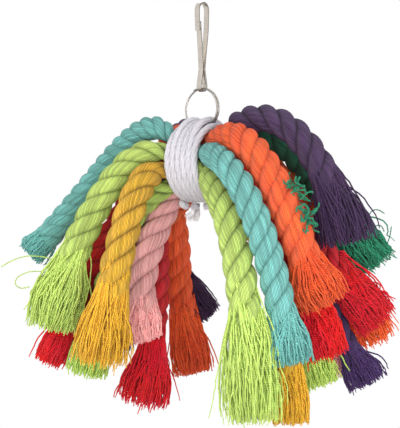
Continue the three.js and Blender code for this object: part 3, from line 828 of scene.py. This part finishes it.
# %% Loose threads
THREADS = {
    "light_green_left_leg": [
        [(-70, 4, -129), (-80, 0, -126.5), (-88, -3, -126), (-95, -4, -128.5), (-100, -3, -131.5)],
        [(-72, 3, -136), (-82, -2, -133.5), (-89, -5, -134.5), (-94, -5, -138.5), (-91.5, -3, -143),
         (-86, -2, -141.5)],
        [(-58, 4, -119), (-55, -2, -129), (-56, -4, -141), (-58, -3, -148.5)],
    ],
    "dark_green_right_leg": [
        [(85, 6, -128), (88.5, 2, -119), (85.5, 0, -111), (82.5, 0, -106), (87, 2, -102), (91.5, 3, -105)],
        [(88, 6, -128), (94, 4, -118.5), (95, 3, -111.5)],
        [(79, 6, -125), (82.5, 0, -114.5), (89, -2, -109.5), (91, -1, -114)],
    ],
}
THREAD_RADIUS = 0.36
THREAD_LOOKS = {"Strands": 2, "Lay": 3 * MM, "Strand Sides": 6, "Step": 0.4 * MM}
THREAD_STEP, THREAD_SOFTENING = 0.5, 7.0


def smoothed(points, spacing, window):
    """A dense line through points whose corners are rounded off, with its two ends kept."""
    points = np.array(points, float)
    span = np.linalg.norm(np.diff(points, axis=0), axis=1).sum()
    dense, _ = even_points(points, int(span / spacing) + 1)
    half = max(1, int(window / spacing / 2))
    padded = np.vstack([2 * dense[0] - dense[half:0:-1], dense, 2 * dense[-1] - dense[-2:-half - 2:-1]])
    weights = np.ones(2 * half + 1) / (2 * half + 1)
    return np.stack([np.convolve(padded[:, k], weights, mode="valid") for k in range(3)], axis=1)


def dress(piece, body, node=None):
    """Let a piece ride on a body and, if it has one, stand for a node."""
    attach(piece, body)
    if node:
        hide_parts(node)


def thin_yarns(name, lines, radius, rope, body):
    """Two-strand yarn in the rope's cotton along lines, riding on a body."""
    piece = grow(name, lines, [np.full(len(line), radius) for line in lines], laid_rope,
                 {"Material": loose_cotton[rope], **THREAD_LOOKS})
    dress(piece, body)
    legs[body]["loose_pieces"].append(piece)


for name, lines in THREADS.items():
    threads = [smoothed(line, THREAD_STEP, THREAD_SOFTENING) for line in lines]
    thin_yarns(name + "_threads", threads, THREAD_RADIUS, legs[name]["rope"], name)
print("loose threads on", len(THREADS), "legs")

# %% [markdown]
# Tufts of dark green yarn have caught beside the orange rope. Their yarns are too tangled to draw one
# by one, so each sets out from a scattered root and wanders by seeded chance.

# %% Caught tufts
TUFTS = {64.0: (26, (-0.3, -0.9, 0.5)), 77.0: (30, (-0.2, -0.9, -0.2))}
TUFT_ROOT, TUFT_YARN = (8.0, -3.0, 0.0), 0.55
TUFT_SCATTER, TUFT_LENGTHS, TUFT_SEED = 2.2, (5, 12), 24
SET_OUT, WANDER = 0.35, 0.5
CURL_STEP, CURL_SOFTENING = 0.4, 2.4


def squiggle(start, heading, length, chances):
    """A curly line that sets out in one direction and wanders."""
    points, direction = [start], np.array(heading) + chances.normal(0, SET_OUT, 3)
    for _ in range(int(length)):
        direction = unit(direction + chances.normal(0, WANDER, 3))
        points.append(points[-1] + direction)
    return smoothed(points, CURL_STEP, CURL_SOFTENING)


caught_on = legs["orange_right_leg"]
chances = np.random.default_rng(TUFT_SEED)
curls = []
for place, (count, heading) in TUFTS.items():
    middle = caught_on["points"][np.searchsorted(caught_on["along"], place)] + np.array(TUFT_ROOT)
    for _ in range(count):
        root = middle + chances.normal(0, TUFT_SCATTER, 3)
        curls.append(squiggle(root, heading, chances.uniform(*TUFT_LENGTHS), chances))
thin_yarns("caught_tufts", curls, TUFT_YARN, "dark_green", "orange_right_leg")
print(len(curls), "curls in", len(TUFTS), "tufts")

# %% [markdown]
# On the real toy every leg is limp and hangs free from the binding. For each leg we have kept how it
# runs, how long and thick it is, and its tassel and its loose threads; here we print how long the
# legs are in all.

# %% Length of the cords
print("cords:", len(legs), "and", round(sum(leg["run"] for leg in legs.values()) / 1000, 2), "m in all")

# %% [markdown]
# Inside the binding the twelve ropes lie side by side, nine round three, and the whole bundle is
# twisted a little. They show only at the two ends of the winding, but the same tree makes them.

# %% Ropes inside the binding
WAIST_POINTS, WAIST_SIDES = 25, 12
for rope, _, first, radius in bundled_ropes():
    stations = np.linspace(-WAIST_HALF, WAIST_HALF, WAIST_POINTS)
    path = np.array([in_bundle(a, turned(first, a), radius) for a in stations])
    waist = grow(rope + "_waist_rope", [path], [np.full(WAIST_POINTS, WAIST_ROPE_DIAMETER / 2)], laid_rope,
                 {"Material": rope_cotton[rope], "Strand Sides": WAIST_SIDES})
    dress(waist, "bundle", rope + "_waist")
print("waist ropes:", len(OUTER_ROPES) + len(INNER_ROPES))

# %% [markdown]
# The waist is bound with soft white cord. It isn't laid hard like the ropes: its yarns run almost
# straight along it, and the turns press flat against each other. So the same tree makes it, with
# more strands and a very long lay. The turns that pass through the split ring rise over its wire,
# and the turns beside the ring keep clear of it, as in the frame.

# %% White binding
CORD_DIAMETER, CORD_PITCH, CORD_TURNS = 2.8, 3.3, 6
CORD_FULLNESS = 1.3
STEPS_PER_TURN, LAST_STEP = 36, 1e-6
CORD_STEP, CORD_SOFTENING = 0.6, 3.0
WHITE_CORD, THROUGH_SHARE = (200, 197, 203), 0.9
GAP, SOFT_GAP = 0.3, 0.6
RING_RADIUS, RING_WIRE, RING_COIL_PITCH = 10.05, 0.9, 1.4
RING_CENTRE = np.array([0, 0, -52.486])
BUNDLE_RADIUS = OUTER_RADIUS + WAIST_ROPE_DIAMETER / 2
CORD_RADIUS = BUNDLE_RADIUS + GAP + CORD_DIAMETER / 2
KNOT_SIZE, KNOT_ALONG = (5.4, 5.4, 4.2), -4.0
RUN_BACK_ANGLES = [math.radians(a) for a in (9, 15, 6)]
ring_height = RING_CENTRE[2] - BUNDLE_CENTRE[2]
inside_ring = RING_RADIUS - RING_WIRE / 2 - CORD_DIAMETER / 2 - SOFT_GAP
outside_ring = RING_RADIUS + RING_WIRE / 2 + CORD_DIAMETER / 2 + SOFT_GAP
clear_of_ring = math.sqrt(max(0, outside_ring**2 - (ring_height - CORD_RADIUS) ** 2))


def winding_point(turn):
    """A point of the winding, which starts and ends under the bundle."""
    from_top = (turn % 1 - 0.5) * 2 * math.pi
    top = (min(math.floor(turn), CORD_TURNS - 1) + 0.5 - CORD_TURNS / 2) * CORD_PITCH
    near_top = max(0, math.cos(from_top)) ** 3
    through = abs(top) < inside_ring * THROUGH_SHARE
    rise = max(0, ring_height - math.sqrt(inside_ring**2 - top**2) - CORD_RADIUS) if through else 0
    sideways = 0 if through else max(0, clear_of_ring - abs(top))
    along = (turn - CORD_TURNS / 2) * CORD_PITCH + math.copysign(sideways * near_top, top)
    return in_bundle(along, from_top, CORD_RADIUS + rise * near_top)


def run_back(side):
    """The cord's way back from the last turn to the knot under the bundle."""
    end = CORD_PITCH * CORD_TURNS / 2
    raised = CORD_RADIUS + CORD_DIAMETER + SOFT_GAP
    knot_reach = KNOT_SIZE[0] / 2 + GAP + SOFT_GAP
    stops = ((side * end, CORD_RADIUS + CORD_DIAMETER / 3),
             (side * (end - CORD_DIAMETER / 2), raised),
             (KNOT_ALONG + side * knot_reach, raised + GAP))
    return [in_bundle(along, math.pi + side * angle, radius)
            for angle, (along, radius) in zip(RUN_BACK_ANGLES, stops)]


# The white cord has a little painted shade in its grooves and in the lines between its yarns.
white_cotton = cotton_material("white_binding", linear(*WHITE_CORD), yarns_round=9.0, lean=420.0,
                               groove_shade=0.15, line_shade=0.24, yarn_change=0.06, relief=0.3 * MM)
turns = [winding_point(t) for t in np.linspace(0, CORD_TURNS - LAST_STEP, CORD_TURNS * STEPS_PER_TURN)]
winding = smoothed(run_back(-1)[::-1] + turns + run_back(1), CORD_STEP, CORD_SOFTENING)
binding_looks = {"Material": white_cotton, "Lay": 26 * MM, "Strands": 5, "Strand Fullness": 0.46,
                 "Strand Sides": 8, "Step": 0.8 * MM}
binding = grow("white_binding", [winding], [np.full(len(winding), CORD_FULLNESS * CORD_DIAMETER / 2)],
               laid_rope, binding_looks)
dress(binding, "bundle", "binding_cord")
print("binding:", len(binding.data.polygons), "faces")

# %% [markdown]
# Under the waist the two ends are tied in a small overhand knot and cut short, and the cut ends
# fray. The knot is a trefoil, the path that an overhand knot takes, drawn up tight.

# %% Knot and cut ends
# The cut ends get a lighter white than the binding's cord, as painted light where they hang in the shade
# under the bundle.
KNOT_CORD, KNOT_POINTS, LIT_WHITE_YARN = 1.0, 73, (226, 224, 228)
TREFOIL_HALF_WIDTH, TREFOIL_HALF_HEIGHT = 2.9, 3
TAIL_LENGTH, TAIL_SPACING, TAIL_SPLAY, TAIL_LEAN = 4.0, 3.0, 1.6, 3.2
TAIL_HIDDEN, TAIL_POINTS = 1, 25
TAIL_RADIUS, TAIL_FLARE, TAIL_SEED = 1.2, 1.3, 7
TAIL_LOOKS = {"Yarns": 90, "Yarn Radius": 0.17 * MM, "Start": 0.0, "Locks": 6, "Wave": 0.5 * MM,
              "Crinkle": 0.2 * MM, "Ragged": 0.45}
knot_radius = CORD_RADIUS + CORD_DIAMETER / 2 + GAP + KNOT_SIZE[2] / 2
knot_centre = in_bundle(KNOT_ALONG, math.pi, knot_radius)
reach = [size / 2 - KNOT_CORD for size in KNOT_SIZE]
knot_path = []
for t in np.linspace(0, 2 * math.pi, KNOT_POINTS):
    loop = (math.sin(t) + 2 * math.sin(2 * t), math.cos(t) - 2 * math.cos(2 * t), -math.sin(3 * t))
    knot_path.append(knot_centre + ALONG * loop[0] / TREFOIL_HALF_WIDTH * reach[0]
                     + FRONT * loop[1] / TREFOIL_HALF_HEIGHT * reach[1] + UP * loop[2] * reach[2])
knot = grow("binding_knot_ties", [knot_path], [np.full(KNOT_POINTS, KNOT_CORD)], laid_rope,
            {**binding_looks, "Step": 0.4 * MM})
dress(knot, "bundle", "binding_knot")
# The cut ends' yarn, in a lighter white than the binding's cord: painted light.
lit_white_yarn = cotton_material("lit_white_yarn", linear(*LIT_WHITE_YARN), line_shade=0.3, yarn_change=0.05,
                             relief=0.1 * MM, **LOOSE_YARN)
for side, node in ((1, "binding_tail_front"), (-1, "binding_tail_back")):
    fall = np.linspace(0, 1, TAIL_POINTS)[:, None]
    start = knot_centre + FRONT * side * TAIL_SPACING / 2 - UP * (KNOT_SIZE[2] / 2 - TAIL_HIDDEN)
    path = (start - UP * (TAIL_LENGTH + TAIL_HIDDEN) * fall
            + (FRONT * side * TAIL_SPLAY - ALONG * TAIL_LEAN) * fall**2)
    tail = grow(node + "_frayed", [path], [TAIL_RADIUS + TAIL_FLARE * fall[:, 0]], tassel,
                {"Material": lit_white_yarn, "Seed": TAIL_SEED + side, **TAIL_LOOKS})
    dress(tail, "bundle", node)
print("knot and 2 cut ends")

# %% [markdown]
# The clip is one narrow steel strip, bent round into a long hook with an eye below, and a second
# strip springs shut against the hook's nose. Both are a rounded flat swept along a bent line. The
# strip's broad side faces the same way all along, so the tree is told which way that is.

# %% Trees for bent strip and bent wire
METAL_STEP, WIRE_SIDES, CORNER_POINTS = 0.3 * MM, 16, 3
strip_tree, given, result = new_tree("bent_strip", [
    ("Width", "Float", 2.8 * MM), ("Thickness", "Float", 0.8 * MM), ("Corner", "Float", 0.18 * MM),
    ("Broadside", "Vector", (0, 1, 0)), ("Material", "Material", None)])
add, make, calc, _, save = tools(strip_tree)
even = make("GeometryNodeResampleCurve", {"Curve": given["Path"], "Length": METAL_STEP},
            mode="LENGTH")
framed = make("GeometryNodeSetCurveNormal", {"Curve": even, "Normal": given["Broadside"]},
              mode="FREE")
flat = make("GeometryNodeCurvePrimitiveQuadrilateral",
            {"Width": given["Width"], "Height": given["Thickness"]})
flat = make("GeometryNodeFilletCurve", {"Curve": flat, "Count": CORNER_POINTS, "Radius": given["Corner"],
                                        "Limit Radius": True}, mode="POLY")
# Where a point lies across the strip, for the painted dark reflection along its edges.
beside = add("ShaderNodeSeparateXYZ", {"Vector": make("GeometryNodeInputPosition")})["X"]
flat = save(flat, "beside", "FLOAT", calc("/", calc("*", beside, 2.0), given["Width"]))
sweep(strip_tree, framed, flat, 1.0, given, result)

wire_tree, given, result = new_tree("bent_wire", [
    ("Wire", "Float", 0.9 * MM), ("Material", "Material", None)])
make = tools(wire_tree)[1]
even = make("GeometryNodeResampleCurve", {"Curve": given["Path"], "Length": METAL_STEP},
            mode="LENGTH")
round_wire = make("GeometryNodeCurvePrimitiveCircle", {"Resolution": WIRE_SIDES, "Radius": 0.5})
sweep(wire_tree, even, round_wire, given["Wire"], given, result)
print("bent_strip:", len(strip_tree.nodes), "nodes; bent_wire:", len(wire_tree.nodes), "nodes")

# %% [markdown]
# Nickel plate on a cheap clip is bright but not a mirror. It carries fine rub marks, and its grey
# is a little warm. Towards the edges of the strip the colour is darker than on its faces, as a
# painted dark reflection. A group gives the roughness, the change of tone and the painted
# reflection, and a very small bump breaks up the reflections.

# %% Finish of rubbed nickel
RUB_SCALE, RUB_RANGE, RUB_ROUGHNESS = (9000.0, 9000.0, 700.0), (0.3, 0.75), (-0.06, 0.16)
CLOUD_SCALE, CLOUD_RANGE, CLOUD_TONE = 420.0, (0.3, 0.7), (0.9, 1.05)
# Where the painted dark reflection on the strip's edges begins, and how dark it gets.
EDGE_REFLECTION_FROM, EDGE_REFLECTION_TONE = 0.72, 0.36
RUB_DEPTH, RUB_STRENGTH = 0.01 * MM, 0.15
CLIP_TONE, CLIP_ROUGHNESS = (205, 197, 187), 0.24
RING_TONE, RING_ROUGHNESS = (156, 151, 145), 0.18
nickel_marks, given, result = new_group(
    "rubbed_nickel", {"Tone": "Color", "Base Roughness": "Float"},
    {"Colour": "Color", "Roughness": "Float", "Height": "Float"})
add, make, calc = tools(nickel_marks)[:3]


def ranged(value, come_from, go_to):
    """A number taken from one range to another."""
    return make("ShaderNodeMapRange", {"Value": value, "From Min": come_from[0], "From Max": come_from[1],
                                       "To Min": go_to[0], "To Max": go_to[1]})


place = add("ShaderNodeTexCoord")["Object"]
drawn = make("ShaderNodeMapping", {"Vector": place, "Scale": RUB_SCALE})
rub = add("ShaderNodeTexNoise", {"Vector": drawn, "Scale": 1.0, "Detail": 3.0})["Fac"]
cloud = add("ShaderNodeTexNoise", {"Vector": place, "Scale": CLOUD_SCALE, "Detail": 2.0})["Fac"]
rougher = ranged(rub, RUB_RANGE, RUB_ROUGHNESS)
duller = ranged(cloud, CLOUD_RANGE, CLOUD_TONE)
beside = add("ShaderNodeAttribute", attribute_name="beside")["Fac"]
# Painted dark reflection: the colour darkens towards the edges of the strip.
painted_edge_reflection = ranged(calc("ABSOLUTE", beside), (EDGE_REFLECTION_FROM, 1.0), (1.0, EDGE_REFLECTION_TONE))
toned_with_reflection = make("ShaderNodeHueSaturation",
             {"Color": given["Tone"], "Value": calc("*", duller, painted_edge_reflection)})
plug(nickel_marks, result["Colour"], toned_with_reflection)
plug(nickel_marks, result["Roughness"], calc("+", given["Base Roughness"], rougher))
plug(nickel_marks, result["Height"], rub)


def nickel_material(name, tone, roughness):
    """Nickel plate in one tone, with its rub marks and a painted dark reflection along its edges."""
    values = {"Tone": tone, "Base Roughness": roughness}
    return group_material(name, nickel_marks, values, {"Metallic": 1.0}, RUB_DEPTH, RUB_STRENGTH)


clip_nickel = nickel_material("clip_nickel", linear(*CLIP_TONE), CLIP_ROUGHNESS)
ring_nickel = nickel_material("ring_nickel", linear(*RING_TONE), RING_ROUGHNESS)
print("nickel: 2 materials")

# %% [markdown]
# The clip's line is worked out from its bends: a round bend at the top, straight sides that taper
# in to the neck, and the eye that holds the split ring. The tongue runs up beside it from the neck to
# the nose. We print the size of each piece beside that of its CAD solid.

# %% Clip and spring tongue
STRIP_THICKNESS, STRIP_WIDTH = 0.8, 2.8
CLIP_WIDTH, CLIP_HEIGHT, CLIP_NOSE_DROP, CLIP_NOSE_TUCK = 8.4, 45.0, 13.8, 0.45
CLIP_SHOULDER_DROP, CLIP_NECK_DROP, CLIP_EYE_WIDTH = 26.4, 33.0, 5.6
TONGUE_TIP_DROP, TONGUE_SHOULDER_DROP = 9.0, 27.0
BEND_STEP, BEND_SOFTENING = 0.2, 1.2
ACROSS = -FRONT
bend = (CLIP_WIDTH - STRIP_THICKNESS) / 2
bend_height = STRIP_THICKNESS / 2 - bend
eye = (CLIP_EYE_WIDTH - STRIP_THICKNESS) / 2
eye_height = STRIP_THICKNESS / 2 - CLIP_HEIGHT + STRIP_THICKNESS + eye
neck = STRIP_THICKNESS / 2 + GAP


def arc(centre, radius, start, stop, count=25):
    """Points of a round bend in the plane of the clip, by angles in degrees."""
    angles = np.radians(np.linspace(start, stop, count))
    return [(radius * math.cos(a), centre + radius * math.sin(a)) for a in angles]


def in_clip(points):
    """Points of the clip's own plane, across and up, in the frame."""
    return np.array([ACROSS * across + UP * up for across, up in points])


def metal_piece(name, path, tree, looks, body, node):
    """Bent metal along a path in the place of a CAD solid, with both sizes printed."""
    piece = grow(name, [path], [np.ones(len(path))], tree, looks)
    dress(piece, body, node)
    low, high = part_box(node)
    print(name, "spans", [round(d, 4) for d in piece.dimensions], "over",
          [round(high[k] - low[k], 4) for k in range(3)])


eye_side = ((neck + eye) / 2, (eye_height - CLIP_NECK_DROP) / 2)
clip_line = [(-bend + CLIP_NOSE_TUCK, -CLIP_NOSE_DROP), (-bend, -CLIP_NOSE_DROP / 2)]
clip_line += arc(bend_height, bend, 180, 0)
clip_line += [(bend - CLIP_NOSE_TUCK, -CLIP_NOSE_DROP),
              (neck + STRIP_THICKNESS, -CLIP_SHOULDER_DROP), (neck, -CLIP_NECK_DROP), eye_side]
clip_line += arc(eye_height, eye, 0, -180)
clip_line += [(-eye_side[0], eye_side[1]), (-neck, -CLIP_NECK_DROP)]
tongue_top = -bend + STRIP_THICKNESS + GAP
tongue_line = [(-neck, -CLIP_NECK_DROP + GAP),
               (-neck - STRIP_THICKNESS / 2, -TONGUE_SHOULDER_DROP),
               (tongue_top + CLIP_NOSE_TUCK, -CLIP_NOSE_DROP), (tongue_top, -TONGUE_TIP_DROP)]
strip_looks = {"Material": clip_nickel, "Broadside": list(ALONG), "Width": STRIP_WIDTH * MM,
               "Thickness": STRIP_THICKNESS * MM}
clip_path = smoothed(in_clip(clip_line), BEND_STEP, BEND_SOFTENING)
tongue_path = smoothed(in_clip(tongue_line), BEND_STEP, BEND_SOFTENING)
metal_piece("bent_clip", clip_path, strip_tree, strip_looks, "clip", "clip_body")
metal_piece("sprung_tongue", tongue_path, strip_tree, strip_looks, "tongue", "spring_tongue")

# %% [markdown]
# The split ring is one wire of not quite two turns, which steps over from one coil to the other. It
# hangs in the eye of the clip and holds the binding.

# %% Split ring
RING_TURNS, RING_JOG, RING_START = 1.7, (0.7, 0.98), math.radians(225)
RING_POINTS = 200
ring_path = []
for turn in np.linspace(0, RING_TURNS, RING_POINTS):
    angle = RING_START + turn * 2 * math.pi
    over = eased((turn - RING_JOG[0]) / (RING_JOG[1] - RING_JOG[0])) - 0.5
    ring_path.append(RING_CENTRE + ALONG * RING_RADIUS * math.cos(angle) + UP * RING_RADIUS * math.sin(angle)
                     + FRONT * over * RING_COIL_PITCH)
metal_piece("wound_ring", ring_path, wire_tree, {"Material": ring_nickel},
            "ring", "split_ring")

# %% [markdown]
# A plain pale disc lies below the toy and takes its shadow.

# %% Floor
FLOOR_HEIGHT, FLOOR_RADIUS, FLOOR_SIDES = -250 * MM, 280 * MM, 96
FLOOR_GREY, FLOOR_ROUGHNESS = 0.86, 0.9
bpy.ops.mesh.primitive_circle_add(vertices=FLOOR_SIDES, radius=FLOOR_RADIUS, fill_type="NGON",
                                  location=(0, 0, FLOOR_HEIGHT))
floor = bpy.context.object
floor.name = "floor"
pale = bpy.data.materials.new("pale_floor")
pale.use_nodes = True
paint = pale.node_tree.nodes["Principled BSDF"].inputs
paint["Base Color"].default_value = (FLOOR_GREY, FLOOR_GREY, FLOOR_GREY, 1)
paint["Roughness"].default_value = FLOOR_ROUGHNESS
floor.data.materials.append(pale)
print("floor:", round(2 * FLOOR_RADIUS, 2), "m across")

# %% [markdown]
# The light is plain and soft, as for a catalogue picture: an even sky, a large lamp from the front
# left and above, a weaker one from the right, a low one from the front that reaches in between the
# ropes, and one from behind. The sky is white where the camera and the metal see it, and dimmer as a
# light.

# %% Sky and lamps
SKY_LIGHT = 0.7
LAMPS = {
    "key": ((-0.45, -0.75, 0.35), 0.6, 3.3),
    "fill": ((0.7, -0.5, 0.05), 0.6, 2.0),
    "front": ((0.05, -0.95, -0.28), 0.7, 5.8),
    "back": ((0.1, 0.8, 0.4), 0.6, 2.0),
}
world = bpy.data.worlds.new("studio")
world.use_nodes = True
scene.world = world
sky = world.node_tree
sky.nodes.clear()
rays = sky.nodes.new("ShaderNodeLightPath").outputs
seen = math_node(sky, "MAXIMUM", rays["Is Camera Ray"],
                 math_node(sky, "MAXIMUM", rays["Is Glossy Ray"], rays["Is Transmission Ray"]))
dim = put_one(sky, "ShaderNodeBackground", {"Color": (1, 1, 1, 1), "Strength": SKY_LIGHT})
white = put_one(sky, "ShaderNodeBackground", {"Color": (1, 1, 1, 1), "Strength": 1.0})
mixed = put_one(sky, "ShaderNodeMixShader", {"Fac": seen})
sky.links.new(dim, mixed.node.inputs[1])
sky.links.new(white, mixed.node.inputs[2])
sky.links.new(mixed, sky.nodes.new("ShaderNodeOutputWorld").inputs["Surface"])


def lamp(name, place, size, power):
    """A round soft lamp, aimed at the middle of the toy."""
    data = bpy.data.lights.new(name, "AREA")
    data.shape = "DISK"
    data.size = size
    data.energy = power
    light = bpy.data.objects.new(name, data)
    light.location = place
    light.rotation_euler = (AIM - Vector(place)).to_track_quat("-Z", "Y").to_euler()
    scene.collection.objects.link(light)


for name, settings in LAMPS.items():
    lamp(name, *settings)
print("light: sky and", len(LAMPS), "lamps")
